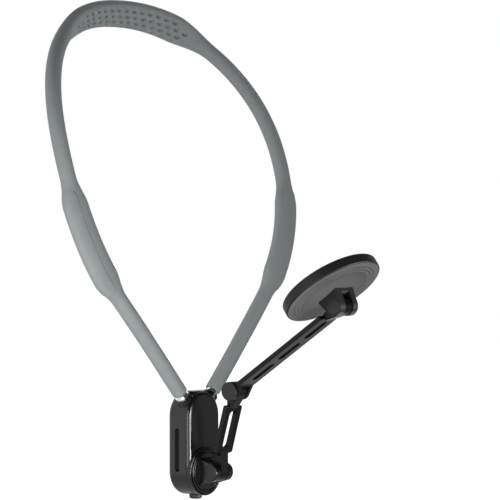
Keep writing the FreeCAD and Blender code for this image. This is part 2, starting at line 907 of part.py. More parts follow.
def make_front_cover():
    body = new_body("front_cover", FRONT)
    outline = new_sketch(body, "XY_Plane", -cells.split_setback)
    draw_housing(outline, housing_radius)
    pad(body, outline, cells.split_setback - cells.face_setback)
    round_edges(body, cells.face_edge_radius, flat_at(-cells.face_setback.value))
    # thick boss behind the swivel, and the posts that the screws hold
    boss = new_sketch(body, "XY_Plane", -cells.split_setback - cells.swivel_boss_height)
    draw_circle(boss, ZERO, ZERO, cells.swivel_boss_diameter / 2)
    pad(body, boss, cells.swivel_boss_height)
    post_end = -cells.back_setback + cells.back_wall + cells.face_clearance
    for x, y in post_places():
        post = new_sketch(body, "XY_Plane", post_end)
        draw_circle(post, x, y, cells.post_diameter / 2)
        pad(body, post, -cells.split_setback - post_end)
        pilot = new_sketch(body, "XY_Plane", post_end)
        draw_circle(pilot, x, y, cells.screw_diameter / 2 + cells.face_clearance)
        pocket(body, pilot, cells.screw_length, back=True)
    # round seat of the bezel and the turntable, across the whole lower end
    seat = new_sketch(body, "XY_Plane", -cells.bezel_seat)
    draw_circle(seat, ZERO, ZERO, housing_radius + cells.face_clearance)
    pocket(body, seat, cells.bezel_seat, back=True)
    hole = new_sketch(body, "XY_Plane")
    draw_circle(hole, ZERO, ZERO, cells.hub_diameter / 2 + cells.hub_clearance)
    pocket(body, hole, cells.back_setback, middle=True)
    # the sockets lie a little way into the back of the rim
    for side in (-1, 1):
        relief = cells.socket_diameter / 2 + cells.face_clearance
        cylinder(body, "Subtractive", relief, cells.socket_mouth, socket_axis(side))


def make_housing_screws():
    body = new_body("housing_screws", FRONT)
    head = -cells.back_setback + cells.screw_clearance
    for x, y in post_places():
        seat = new_sketch(body, "XY_Plane", head)
        draw_circle(seat, x, y, cells.screw_head_diameter / 2)
        pad(body, seat, cells.screw_head_height)
        shank = new_sketch(body, "XY_Plane", head)
        draw_circle(shank, x, y, cells.screw_diameter / 2)
        pad(body, shank, cells.screw_length)


def make_bottom_plug():
    upward = Placement(Vector(0, 0, -cells.plug_setback.value), Rotation(X_AXIS, -90))
    seat = -cells.plug_seat
    body = turned("bottom_plug", FRONT * upward, [
        (0, -cells.plug_reach),
        (cells.plug_diameter / 2, -cells.plug_reach),
        (cells.plug_diameter / 2, seat),
        (cells.plug_stem_diameter / 2, seat),
        (cells.plug_stem_diameter / 2, seat + cells.plug_stem_length),
        (0, seat + cells.plug_stem_length),
    ])
    round_edges(body, cells.plug_edge_radius, flat_at(-cells.plug_reach.value))


# Swivel
def make_bezel():
    inner = housing_radius - cells.bezel_rim
    body = turned("swivel_bezel", FRONT, [
        (inner, -cells.bezel_seat),
        (housing_radius, -cells.bezel_seat),
        (housing_radius, 0),
        (inner, 0),
    ])
    round_edges(body, cells.bezel_edge_radius, flat_at(0))


def make_swivel_base():
    radius = housing_radius - cells.bezel_rim - cells.turntable_gap
    floor = -cells.bezel_seat + cells.face_clearance * 2
    hub = cells.hub_diameter / 2
    hub_end = -cells.split_setback - cells.swivel_boss_height - cells.swivel_washer_thickness
    groove = radius - cells.turntable_groove * 2
    step = cells.turntable_proud - cells.turntable_groove_depth
    body = turned("swivel_base", FRONT, [
        (0, hub_end),
        (hub, hub_end),
        (hub, floor),
        (radius, floor),
        (radius, cells.turntable_proud),
        (groove + cells.turntable_groove / 2, cells.turntable_proud),
        (groove + cells.turntable_groove / 2, step),
        (groove - cells.turntable_groove / 2, step),
        (groove - cells.turntable_groove / 2, cells.turntable_proud),
        (0, cells.turntable_proud),
    ])
    ear = new_sketch(body, "YZ_Plane")
    draw_ear(ear, ZERO, cells.fork_root / 2, cells.fork_reach, cells.fork_ear_radius, upright=True)
    pad(body, ear, cells.fork_width, middle=True)
    round_ear(body, cells.fork_width, cells.turntable_proud)
    slot = new_sketch(body, "YZ_Plane")
    floor = cells.fork_reach - cells.tongue_radius - cells.swing_clearance
    draw_rectangle(slot, -cells.fork_root, cells.fork_root, floor, cells.fork_reach * 2)
    pocket(body, slot, fork_slot, middle=True)
    cut_hinge(body, cells.fork_reach, cells.fork_width, (-1, 1), upright=True)
    bolt = new_sketch(body, "XY_Plane", hub_end)
    draw_circle(bolt, ZERO, ZERO, cells.swivel_bolt_diameter / 2 + cells.face_clearance)
    pocket(body, bolt, cells.swivel_bolt_length + cells.swing_clearance, back=True)


def round_ear(body, width, root):
    """Rounds the outer edges of a hinge ear that stands on a flat root."""

    def chosen(edge):
        box = edge.BoundBox
        beside = abs(abs(box.XMin) - width.value / 2) < NEAR and box.XLength < NEAR
        return beside and abs(box.Center.z - root.value) > NEAR

    round_edges(body, cells.ear_edge_radius, chosen)


def cut_hinge(body, tip, width, sunk_sides, upright):
    """Bores a fork for its pin, and sinks a seat for the pin's head or the cap nut in the given sides."""
    x, y = (ZERO, tip) if upright else (tip, ZERO)
    hole = new_sketch(body, "YZ_Plane")
    draw_circle(hole, x, y, pin_hole)
    pocket(body, hole, width * 2, middle=True)
    seat_radius = cells.pin_head_diameter / 2 + cells.face_clearance
    for side in sunk_sides:
        seat = new_sketch(body, "YZ_Plane", (width / 2 - cells.pin_head_sunk) * side)
        draw_circle(seat, x, y, seat_radius)
        pocket(body, seat, cells.pin_head_sunk * 2, back=side > 0)


def make_swivel_hardware():
    boss_end = -cells.split_setback - cells.swivel_boss_height
    hub_end = boss_end - cells.swivel_washer_thickness
    bore = cells.hub_diameter / 2 + cells.hub_clearance
    outer = cells.swivel_washer_diameter / 2
    top = boss_end - cells.face_clearance
    turned("swivel_washer", FRONT, [(bore, hub_end), (outer, hub_end), (outer, top), (bore, top)])
    shank = cells.swivel_bolt_diameter / 2
    head = cells.swivel_bolt_head_diameter / 2
    turned("swivel_bolt", FRONT, [
        (0, hub_end - cells.swivel_bolt_head_height),
        (head, hub_end - cells.swivel_bolt_head_height),
        (head, hub_end),
        (shank, hub_end),
        (shank, hub_end + cells.swivel_bolt_length),
        (0, hub_end + cells.swivel_bolt_length),
    ])


# Hinges
def make_hinge_hardware(name, frame, width, head_seat, head_height, head_radius):
    """Pin with a flat head on the -X side, cap nut on the +X side, and two friction washers."""
    place = frame * ALONG_HINGE
    shank = cells.pin_diameter / 2
    cap_radius = cells.pin_head_diameter / 2
    cap_seat = width / 2 - cells.pin_head_sunk
    pin_end = head_seat + head_height
    cap_end = cap_seat + cells.pin_head_sunk + cells.cap_dome
    pin = turned(f"{name}_pin", place, [
        (0, -pin_end),
        (head_radius, -pin_end),
        (head_radius, -head_seat),
        (shank, -head_seat),
        (shank, cap_seat),
        (0, cap_seat),
    ])
    round_edges(pin, cells.pin_edge_radius, flat_at(-pin_end.value))
    cap = turned(f"{name}_cap", place, [
        (0, cap_seat),
        (cap_radius, cap_seat),
        (cap_radius, cap_end),
        (0, cap_end),
    ])
    round_edges(cap, cells.cap_dome, flat_at(cap_end.value))
    washers = new_body(f"{name}_washers", place)
    sketch = new_sketch(washers, "XY_Plane", cells.tongue_width / 2 + cells.face_clearance)
    draw_circle(sketch, ZERO, ZERO, cells.hinge_washer_diameter / 2)
    draw_circle(sketch, ZERO, ZERO, pin_hole)
    washer = pad(washers, sketch, cells.hinge_washer_thickness)
    mirror(washers, [washer], "XY_Plane")


def make_sunk_hinge(name, frame, width):
    """Hinge hardware whose pin head lies flush in the fork's side."""
    seat = width / 2 - cells.pin_head_sunk
    make_hinge_hardware(name, frame, width, seat, cells.pin_head_sunk, cells.pin_head_diameter / 2)


# Arms
def add_bar(body, start, end, necks):
    """The flat bar of an arm; necks lists the ends that carry a tongue, each with its direction."""
    half = cells.bar_width / 2
    outline = new_sketch(body, "XY_Plane")
    draw_rectangle(outline, -half, half, start, end)
    pad(body, outline, cells.bar_thickness, middle=True)
    round_edges(body, cells.bar_corner, along("z", lambda box: abs(abs(box.XMin) - half.value) < NEAR))
    neck_half = cells.tongue_width / 2
    for edge, sign in necks:
        neck = new_sketch(body, "XY_Plane")
        inner = edge - cells.tongue_overlap * sign
        outer = edge + cells.neck_length * sign
        draw_rectangle(neck, -neck_half, neck_half, inner, outer)
        pad(body, neck, cells.bar_thickness, middle=True)

        def in_corner(box):
            return abs(abs(box.XMin) - neck_half.value) < NEAR and abs(box.YMin - edge.value) < NEAR

        round_edges(body, cells.neck_fillet, along("z", in_corner))
    level = cells.bar_thickness.value / 2

    def long_edge(box):
        return abs(abs(box.XMin) - half.value) < NEAR and abs(abs(box.ZMin) - level) < NEAR

    round_edges(body, cells.bar_edge_radius, along("y", long_edge))


def add_tongue(body, root, tip):
    """A tongue that swells from the bar to a round end about the hinge."""
    sketch = new_sketch(body, "YZ_Plane")
    draw_ear(sketch, root, cells.bar_thickness / 2, tip, cells.tongue_radius)
    pad(body, sketch, cells.tongue_width, middle=True)
    hole = new_sketch(body, "YZ_Plane")
    draw_circle(hole, tip, ZERO, pin_hole)
    pocket(body, hole, cells.tongue_width * 2, middle=True)


def make_lower_arm():
    body = new_body("lower_arm", LOWER)
    start = cells.lower_bar_start
    end = cells.lower_length - cells.lower_tip_length
    add_bar(body, start, end, [(start, -1), (end, 1)])
    add_tongue(body, start + cells.tongue_overlap, ZERO)
    add_tongue(body, end - cells.tongue_overlap, cells.lower_length)
    slot = new_sketch(body, "XY_Plane")
    radius = cells.lower_slot_width / 2
    low = start + cells.lower_slot_margin + radius
    high = end - cells.lower_slot_margin - radius
    draw_obround(slot, (ZERO, low), (ZERO, high), radius)
    pocket(body, slot, cells.bar_thickness * 2, middle=True)


def make_upper_arm():
    body = new_body("upper_arm", ELBOW)
    start = cells.upper_bar_start
    end = cells.upper_length - cells.upper_tip_length
    # the ears of the elbow
    ears = new_sketch(body, "YZ_Plane")
    root = start + cells.tongue_overlap
    draw_ear(ears, root, cells.bar_thickness / 2, ZERO, cells.elbow_radius)
    pad(body, ears, cells.elbow_width, middle=True)
    add_bar(body, start, end, [(end, 1)])
    add_tongue(body, end - cells.tongue_overlap, cells.upper_length)
    slots = new_sketch(body, "XY_Plane")
    radius = cells.upper_slot_width / 2
    count = cells.upper_slot_count
    bridges = cells.upper_slot_bridge * (count - 1)
    length = (end - start - cells.upper_slot_lead - cells.upper_slot_tail - bridges) / count
    for index in range(round(count.value)):
        low = start + cells.upper_slot_lead + (length + cells.upper_slot_bridge) * index
        draw_obround(slots, (ZERO, low + radius), (ZERO, low + length - radius), radius)
    pocket(body, slots, cells.bar_thickness * 2, middle=True)
    gap = new_sketch(body, "YZ_Plane")
    draw_rectangle(gap, -cells.elbow_radius * 2, start, -cells.elbow_radius * 2, cells.elbow_radius * 2)
    pocket(body, gap, fork_slot, middle=True)
    cut_hinge(body, ZERO, cells.elbow_width, (1,), upright=False)


# Head and magnetic disc
def make_disc_back():
    radius = cells.disc_diameter / 2
    back = cells.disc_back
    front = back + cells.disc_thickness
    inside = radius - cells.disc_wall
    floor = back + cells.disc_floor
    inset = back + cells.disc_inset
    groove_out = cells.disc_groove_radius
    groove_in = groove_out - cells.disc_groove
    body = turned("disc_back", HEAD, [
        (0, inset),
        (groove_in - cells.disc_groove_pitch, inset),
        (groove_in - cells.disc_groove_pitch, back),
        (groove_in, back),
        (groove_in, inset),
        (groove_out, inset),
        (groove_out, back),
        (radius, back),
        (radius, front),
        (inside, front),
        (inside, floor),
        (0, floor),
    ])
    round_edges(body, cells.disc_edge_radius, rim_edge(radius.value, back.value))
    round_edges(body, cells.disc_lip_radius, rim_edge(radius.value, front.value))
    ears = new_sketch(body, "YZ_Plane")
    draw_ear(ears, inset, cells.head_root / 2, ZERO, cells.head_radius, upright=True)
    pad(body, ears, cells.head_width, middle=True)
    round_ear(body, cells.head_width, inset)
    round_edges(body, cells.head_root_fillet, root_edge(cells.head_width.value / 2, inset.value))
    slot = new_sketch(body, "YZ_Plane")
    depth = cells.tongue_radius + cells.swing_clearance
    draw_rectangle(slot, -cells.head_root, cells.head_root, -cells.disc_back, depth)
    pocket(body, slot, fork_slot, middle=True)
    cut_hinge(body, ZERO, cells.head_width, (-1, 1), upright=True)
    hole = new_sketch(body, "XY_Plane", floor)
    hole_radius = cells.disc_screw_diameter / 2 + cells.face_clearance
    draw_circle(hole, ZERO, cells.disc_screw_circle / 2, hole_radius)
    cut = pocket(body, hole, cells.disc_screw_length)
    ring_of(body, [cut], cells.disc_screw_count)


def rim_edge(radius, height):
    """Picks the round edge of one radius at one height."""
    level = flat_at(height)

    def chosen(edge):
        return level(edge) and abs(edge.BoundBox.XMax - radius) < NEAR

    return chosen


def root_edge(half_width, height):
    """Picks the edges at one height that lie within a distance to either side."""
    level = flat_at(height)

    def chosen(edge):
        return level(edge) and edge.BoundBox.XMax < half_width + NEAR

    return chosen


def make_disc_inside():
    radius = cells.disc_diameter / 2 - cells.disc_wall - cells.disc_fit
    floor = cells.disc_back + cells.disc_floor
    plate_top = floor + cells.plate_thickness
    magnet_top = plate_top + cells.magnet_thickness
    face = magnet_top + cells.face_pad_thickness
    plate = turned("steel_plate", HEAD, [(0, floor), (radius, floor), (radius, plate_top), (0, plate_top)])
    hole = new_sketch(plate, "XY_Plane", plate_top)
    hole_radius = cells.disc_screw_diameter / 2 + cells.screw_clearance
    draw_circle(hole, ZERO, cells.disc_screw_circle / 2, hole_radius)
    cut = pocket(plate, hole, cells.plate_thickness * 2)
    ring_of(plate, [cut], cells.disc_screw_count)
    inner = radius - cells.magnet_width
    magnets = turned(
        "magnet_ring",
        HEAD,
        [(inner, plate_top), (radius, plate_top), (radius, magnet_top), (inner, magnet_top)],
        size_of(360) / cells.magnet_count - cells.magnet_gap_angle,
    )
    ring_of(magnets, [magnets.Tip], cells.magnet_count)
    outer = inner - cells.disc_fit
    bore = cells.carrier_bore / 2
    turned("magnet_carrier", HEAD, [
        (bore, plate_top),
        (outer, plate_top),
        (outer, magnet_top),
        (bore, magnet_top),
    ])
    pad_body = turned("face_pad", HEAD, [(0, magnet_top), (radius, magnet_top), (radius, face), (0, face)])
    round_edges(pad_body, cells.face_pad_edge_radius, flat_at(face.value))
    screws = new_body("disc_screws", HEAD)
    head = new_sketch(screws, "XY_Plane", plate_top)
    draw_circle(head, ZERO, cells.disc_screw_circle / 2, cells.disc_screw_head_diameter / 2)
    top = pad(screws, head, cells.disc_screw_head_height)
    shank = new_sketch(screws, "XY_Plane", plate_top)
    draw_circle(shank, ZERO, cells.disc_screw_circle / 2, cells.disc_screw_diameter / 2)
    stem = pad(screws, shank, cells.disc_screw_length, back=True)
    ring_of(screws, [top, stem], cells.disc_screw_count)


# Build
make_neckband()
make_ferrule("left_ferrule", -1)
make_ferrule("right_ferrule", 1)
make_rear_shell()
make_front_cover()
make_housing_screws()
make_bottom_plug()
make_bezel()
make_swivel_base()
make_swivel_hardware()
make_lower_arm()
make_upper_arm()
make_disc_back()
make_disc_inside()
make_sunk_hinge("lower_hinge", LOWER, cells.fork_width)
make_hinge_hardware(
    "elbow",
    ELBOW,
    cells.elbow_width,
    cells.elbow_width / 2,
    cells.elbow_head_height,
    cells.elbow_radius,
)
make_sunk_hinge("head", HEAD, cells.head_width)
doc.recompute()

# Test every object, then write the pieces
for item in doc.Objects:
    if "Invalid" in item.State or "Error" in item.State:
        raise RuntimeError(f"{item.Name} of {item.getParentGeoFeatureGroup()} failed: {item.State}")
pieces = [item for item in doc.Objects if item.TypeId in ("PartDesign::Body", "Part::Feature")]
for piece in pieces:
    if piece.Shape.isNull() or not piece.Shape.isValid():
        raise RuntimeError(f"{piece.Label} has no valid shape")
os.makedirs("parts", exist_ok=True)
for piece in pieces:
    piece.Shape.exportStep(os.path.join("parts", f"{piece.Label}.step"))
print(f"{len(pieces)} pieces")
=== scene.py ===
import json
import math

import bmesh
import bpy
import numpy as np
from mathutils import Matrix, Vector


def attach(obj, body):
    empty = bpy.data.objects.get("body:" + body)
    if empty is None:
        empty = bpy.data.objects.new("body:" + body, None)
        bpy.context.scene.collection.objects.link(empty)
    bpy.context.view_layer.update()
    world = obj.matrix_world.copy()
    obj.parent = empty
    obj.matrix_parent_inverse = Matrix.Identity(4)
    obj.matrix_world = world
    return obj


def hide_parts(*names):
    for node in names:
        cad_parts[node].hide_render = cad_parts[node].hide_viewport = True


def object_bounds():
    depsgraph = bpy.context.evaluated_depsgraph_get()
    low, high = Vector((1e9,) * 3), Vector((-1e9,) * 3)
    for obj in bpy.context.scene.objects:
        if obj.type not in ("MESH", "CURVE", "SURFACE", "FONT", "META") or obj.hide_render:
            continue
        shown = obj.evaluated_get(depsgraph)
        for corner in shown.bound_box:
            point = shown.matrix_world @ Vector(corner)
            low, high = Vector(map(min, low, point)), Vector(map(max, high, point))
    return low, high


# Neck phone holder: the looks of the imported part. Metres, +Z up, -Y ahead of the wearer.

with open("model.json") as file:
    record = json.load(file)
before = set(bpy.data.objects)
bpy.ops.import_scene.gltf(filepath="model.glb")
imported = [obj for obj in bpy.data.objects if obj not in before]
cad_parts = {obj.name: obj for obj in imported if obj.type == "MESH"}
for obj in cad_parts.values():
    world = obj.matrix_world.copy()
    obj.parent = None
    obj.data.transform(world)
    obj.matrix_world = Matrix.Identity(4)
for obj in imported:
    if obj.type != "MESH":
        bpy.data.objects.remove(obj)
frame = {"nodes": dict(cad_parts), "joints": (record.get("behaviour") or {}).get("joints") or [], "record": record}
cad_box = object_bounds()
nodes = frame["nodes"]
joints = {joint["name"]: joint for joint in frame["joints"]}
scene = bpy.context.scene
MM = 0.001

# The band's route and pads, as the part has them, measured from the swivel axis
SWIVEL = Vector(joints["base_swivel"]["pos_m"])
BAND_HALF_WIDTH = 95.0 * MM
BAND_TOP = 265.5 * MM
LEG_ANGLE = math.radians(42.4)
LEG_ROOT = 29.8 * MM
BEND_RADIUS = 114.0 * MM
CROWN_POWER = 2.2
BAND_LEAN = 59.0 * MM
LEAN_POWER = 2.73
SOCKET_SETBACK = 7.6 * MM
SLEEVE_START = 21.5 * MM
TUBE_DIAMETER = 9.1 * MM
TUBE_POWER = 2.0
NAPE_TILT = math.radians(37.0)
TILT_POWER = 3
NAPE_LENGTH = 82.0 * MM
NAPE_TAPER = 32.0 * MM
NAPE_WIDTH = 17.0 * MM
NAPE_THICKNESS = 8.2 * MM
NAPE_POWER = 3.0
COLLAR_START = 73.5 * MM
COLLAR_LENGTH = 77.0 * MM
COLLAR_TAPER = 17.0 * MM
COLLAR_WIDTH = 16.6 * MM
COLLAR_THICKNESS = 8.8 * MM
COLLAR_POWER = 2.4
SECTION_CONTROLS = 20
BARB_BORE = 6.1 * MM
BARB_DEPTH = 8.6 * MM
END_EDGE = 0.5 * MM

# Steps of the band's mesh, close where the surface has relief
TUBE_STEP = 2.4 * MM
COLLAR_STEP = 0.80 * MM
NAPE_STEP = 0.30 * MM
POINTS_ROUND = 120
POINTS_BEHIND = 40
ROUTE_STEPS = 1200
SECTION_STEPS = 480

# Dimples on the nape pad; they fade out where the pad's face turns to its edge
DIMPLE_PITCH = 6.6 * MM
DIMPLE_ROW_PITCH = 3.8 * MM
DIMPLE_DROP = 0.7 * MM
DIMPLE_ROWS = 4
DIMPLE_LENGTH = 4.9 * MM
DIMPLE_WIDTH = 3.5 * MM
DIMPLE_DEPTH = 1.7 * MM
DIMPLE_FLOOR = 0.42
DIMPLE_REACH = 52.0 * MM
DIMPLE_REACH_LOSS = 1.4
DIMPLE_FADE_START = 0.24
DIMPLE_FADE = 0.12

# Outlined panel on each collar pad
PANEL_LENGTH = 62.0 * MM
PANEL_WIDTH = 14.6 * MM
PANEL_PLACE = 2.0 * MM
PANEL_RISE = 0.30 * MM
PANEL_EDGE = 0.7 * MM

# Round ridges on the turntable, on both sides of its groove
RIDGE_RADII = (10.8 * MM, 12.2 * MM)
RIDGE_SIZE = 0.42 * MM
RIDGE_POINTS = 12
TURNTABLE_PROUD = 0.3 * MM

# Shallow cone with fine rings on the back of the disc, measured from the head's hinge
DISC_BACK = 9.4 * MM
CONE_RADIUS = 27.6 * MM
CONE_BORE = 6.5 * MM
CONE_SLOPE = math.radians(6.1)
CONE_SINK = 0.2 * MM
CONE_RINGS = (24.8 * MM, 22.6 * MM, 20.4 * MM)
CONE_RING_WIDTH = 0.5 * MM
CONE_RING_DEPTH = 0.10 * MM

# Finishes: two near colours, the range of roughness, the grain, and other values of the shader
FINISHES = {
    "band_silicone": dict(
        colours=((0.280, 0.302, 0.304), (0.310, 0.334, 0.336)),
        roughness=(0.62, 0.74),
        grain_scale=5200.0,
        grain_depth=0.01 * MM,
        Sheen_Weight=0.12,
        Sheen_Roughness=0.4,
        Specular_IOR_Level=0.15,
    ),
    "core_metal": dict(
        colours=((0.70, 0.71, 0.72), (0.78, 0.79, 0.80)),
        roughness=(0.30, 0.42),
        grain_scale=2400.0,
        grain_depth=0.01 * MM,
        Metallic=1.0,
    ),
    "ferrule_chrome": dict(
        colours=((0.82, 0.83, 0.84), (0.86, 0.87, 0.88)),
        roughness=(0.04, 0.08),
        grain_scale=1800.0,
        grain_depth=0.002 * MM,
        Metallic=1.0,
    ),
    "housing_black": dict(
        colours=((0.005, 0.005, 0.005), (0.008, 0.008, 0.008)),
        roughness=(0.165, 0.235),
        grain_scale=6500.0,
        grain_depth=0.003 * MM,
    ),
    "arm_black": dict(
        colours=((0.003, 0.003, 0.003), (0.005, 0.005, 0.005)),
        roughness=(0.22, 0.30),
        grain_scale=6500.0,
        grain_depth=0.005 * MM,
        Specular_IOR_Level=0.20,
    ),
    "swivel_satin": dict(
        colours=((0.004, 0.004, 0.004), (0.006, 0.006, 0.006)),
        roughness=(0.18, 0.25),
        grain_scale=6500.0,
        grain_depth=0.005 * MM,
    ),
    "disc_black": dict(
        colours=((0.004, 0.004, 0.004), (0.006, 0.006, 0.006)),
        roughness=(0.48, 0.58),
        grain_scale=6500.0,
        grain_depth=0.006 * MM,
        Specular_IOR_Level=0.30,
    ),
    "pin_black": dict(
        colours=((0.007, 0.007, 0.007), (0.011, 0.011, 0.011)),
        roughness=(0.26, 0.34),
        grain_scale=5200.0,
        grain_depth=0.005 * MM,
        Specular_IOR_Level=0.42,
    ),
    "screw_steel": dict(
        colours=((0.48, 0.48, 0.49), (0.58, 0.58, 0.59)),
        roughness=(0.25, 0.40),
        grain_scale=3600.0,
        grain_depth=0.006 * MM,
        Metallic=1.0,
    ),
    "magnet_nickel": dict(
        colours=((0.66, 0.64, 0.60), (0.72, 0.70, 0.66)),
        roughness=(0.12, 0.22),
        grain_scale=2600.0,
        grain_depth=0.004 * MM,
        Metallic=1.0,
    ),
    "plug_rubber": dict(
        colours=((0.008, 0.008, 0.008), (0.013, 0.013, 0.013)),
        roughness=(0.50, 0.62),
        grain_scale=5200.0,
        grain_depth=0.012 * MM,
    ),
    "face_silicone": dict(
        colours=((0.020, 0.020, 0.021), (0.027, 0.027, 0.028)),
        roughness=(0.50, 0.64),
        grain_scale=5200.0,
        grain_depth=0.015 * MM,
    ),
}
CLOUD_SCALE = 60.0
GRAIN_STRENGTH = 0.35
# Painted light: the grey of the disc's back face, standing in for the light it catches from below
DISC_PAINTED_LIGHT_GREY = (0.165, 0.165, 0.167)

# The turntable and its fork are a glossier moulding than the arms, though they share a slot
SPECIAL_FINISHES = {"swivel_base": "swivel_satin"}

# Stage
WHITE = (1, 1, 1, 1)
STUDIO_DIM = 0.06
BACKDROP_SIDE = (0, 0.85, -0.53)
FLOOR_HALF = 6.0
FLOOR_DROP = 0.30
FLOOR_GREY = 0.62
FLOOR_ROUGHNESS = 0.9
FLOOR_GLOW = 0.93

# Camera, from the photograph's vanishing directions
CAMERA_PLACE = SWIVEL + Vector((-1.1396, -0.9719, 0.1533))
CAMERA_LOOK = Vector((0.7715, 0.6360, -0.01745))
CAMERA_LENS = 187.9
SENSOR_WIDTH = 36.0


# Shared helpers
def magnet_axis():
    """The way the disc's magnetic face looks."""
    mounts = {mount["name"]: mount for mount in frame["record"]["mounts"]}
    return Vector(mounts["magnet_face"]["axis"])


def new_object(name, data):
    item = bpy.data.objects.new(name, data)
    scene.collection.objects.link(item)
    return item


def ease(share):
    share = np.clip(share, 0, 1)
    return share * share * (3 - 2 * share)


def running_length(points):
    """Length along a line of points, at each of them."""
    return np.concatenate([[0], np.cumsum(np.linalg.norm(np.diff(points, axis=0), axis=1))])


# Band surface
def band_centre_line():
    """Half the centre line, from the sleeve's end to the nape: points, lengths and share of the height."""
    leg = (BAND_HALF_WIDTH - BEND_RADIUS * (1 - math.cos(LEG_ANGLE))) / math.sin(LEG_ANGLE)
    foot = LEG_ROOT + leg * math.cos(LEG_ANGLE) + BEND_RADIUS * math.sin(LEG_ANGLE)
    wide = BAND_HALF_WIDTH
    high = BAND_TOP - foot
    bend_end = leg + BEND_RADIUS * LEG_ANGLE
    # a quarter of an ellipse's girth
    crown = math.pi / 4 * (3 * (wide + high) - math.sqrt((3 * wide + high) * (wide + 3 * high)))
    run = np.linspace(SLEEVE_START, bend_end + crown, ROUTE_STEPS)
    on_leg = run <= leg
    on_bend = (run > leg) & (run <= bend_end)
    left = (bend_end - run) / BEND_RADIUS
    turn = np.clip((run - bend_end) / crown, 0, 1) * math.pi / 2
    power = 2 / CROWN_POWER
    x = wide * np.clip(np.cos(turn), 0, 1) ** power
    z = foot + high * np.sin(turn) ** power
    x = np.where(on_bend, wide - BEND_RADIUS * (1 - np.cos(left)), x)
    z = np.where(on_bend, foot - BEND_RADIUS * np.sin(left), z)
    x = np.where(on_leg, run * math.sin(LEG_ANGLE), x)
    z = np.where(on_leg, LEG_ROOT + run * math.cos(LEG_ANGLE), z)
    low = LEG_ROOT + SLEEVE_START * math.cos(LEG_ANGLE)
    share = np.clip(z - low, 0, None) / (BAND_TOP - low)
    y = SOCKET_SETBACK + BAND_LEAN * share ** LEAN_POWER
    points = np.stack([x, y, z], 1)
    return points, running_length(points), share


def band_places(total):
    """Lengths along half the band where the mesh has rings."""
    collar_end = COLLAR_START + COLLAR_LENGTH
    nape_start = total - NAPE_LENGTH / 2 - NAPE_TAPER
    places = []
    for start, end, step in (
        (0, COLLAR_START, TUBE_STEP),
        (COLLAR_START, collar_end, COLLAR_STEP),
        (collar_end, nape_start, TUBE_STEP),
        (nape_start, total, NAPE_STEP),
    ):
        count = max(round((end - start) / step), 1)
        places.append(np.linspace(start, end, count, endpoint=False))
    return np.concatenate(places + [[total]])


def band_section(place, total):
    """Width, thickness and squareness of the sleeve's section at a length along half the band."""
    collar_end = COLLAR_START + COLLAR_LENGTH
    collar = ease((place - COLLAR_START) / COLLAR_TAPER) * ease((collar_end - place) / COLLAR_TAPER)
    nape = ease((place - total + NAPE_LENGTH / 2 + NAPE_TAPER) / NAPE_TAPER)

    def blend(on_tube, on_collar, on_nape):
        return on_tube + collar * (on_collar - on_tube) + nape * (on_nape - on_tube)

    return (
        blend(TUBE_DIAMETER, COLLAR_WIDTH, NAPE_WIDTH),
        blend(TUBE_DIAMETER, COLLAR_THICKNESS, NAPE_THICKNESS),
        blend(TUBE_POWER, COLLAR_POWER, NAPE_POWER),
    )


def section_outline(width, thickness, exponent):
    """Side and out coordinates round one section, on the same smooth curve as the solid has."""
    turn = 2 * np.pi * np.arange(SECTION_CONTROLS) / SECTION_CONTROLS
    power = 2 / exponent
    swell = 3 / (2 + math.cos(2 * math.pi / SECTION_CONTROLS))
    corner = np.stack([
        np.sign(np.cos(turn)) * np.abs(np.cos(turn)) ** power * width / 2,
        np.sign(np.sin(turn)) * np.abs(np.sin(turn)) ** power * thickness / 2,
    ], 1) * swell
    place = np.arange(SECTION_STEPS) * SECTION_CONTROLS / SECTION_STEPS
    span = np.floor(place).astype(int)
    part = (place - span)[:, None]
    near = [corner[(span + shift) % SECTION_CONTROLS] for shift in (-1, 0, 1, 2)]
    curve = (
        (1 - part) ** 3 * near[0]
        + (3 * part ** 3 - 6 * part ** 2 + 4) * near[1]
        + (-3 * part ** 3 + 3 * part ** 2 + 3 * part + 1) * near[2]
        + part ** 3 * near[3]
    ) / 6
    closed = np.concatenate([curve, curve[:1]])
    lengths = running_length(closed)
    # more points on the half that is turned ahead, which has the dimples
    points_ahead = POINTS_ROUND - POINTS_BEHIND
    behind = np.arange(POINTS_BEHIND) / POINTS_BEHIND
    ahead = 1 + np.arange(points_ahead) / points_ahead
    share = np.concatenate([behind, ahead]) / 2
    return np.stack([np.interp(share * lengths[-1], lengths, closed[:, axis]) for axis in (0, 1)], 1)


def dimple_depth(along, across):
    """Depth of the staggered oval dimples at a place on the nape pad's inner face."""
    depth = np.zeros_like(along)
    for row in range(DIMPLE_ROWS):
        row_place = (row - (DIMPLE_ROWS - 1) / 2) * DIMPLE_ROW_PITCH + DIMPLE_DROP
        shift = DIMPLE_PITCH / 2 * (row % 2)
        nearest = np.round((along - shift) / DIMPLE_PITCH) * DIMPLE_PITCH + shift
        gap = np.hypot((along - nearest) / (DIMPLE_LENGTH / 2), (across - row_place) / (DIMPLE_WIDTH / 2))
        reach = DIMPLE_REACH - DIMPLE_REACH_LOSS * np.abs(row_place)
        here = np.abs(nearest) < reach
        bowl = 1 - ease((gap - DIMPLE_FLOOR) / (1 - DIMPLE_FLOOR))
        depth = np.maximum(depth, np.where(here, bowl, 0) * DIMPLE_DEPTH)
    return depth


def panel_rise(along, across):
    """Rise of the collar pad's outlined panel; along and across are measured from the panel's middle."""
    half_width = PANEL_WIDTH / 2
    past_end = np.maximum(np.abs(along) - (PANEL_LENGTH / 2 - half_width), 0)
    outside = np.hypot(past_end, across) - half_width
    return PANEL_RISE * (1 - ease(outside / PANEL_EDGE + 0.5))


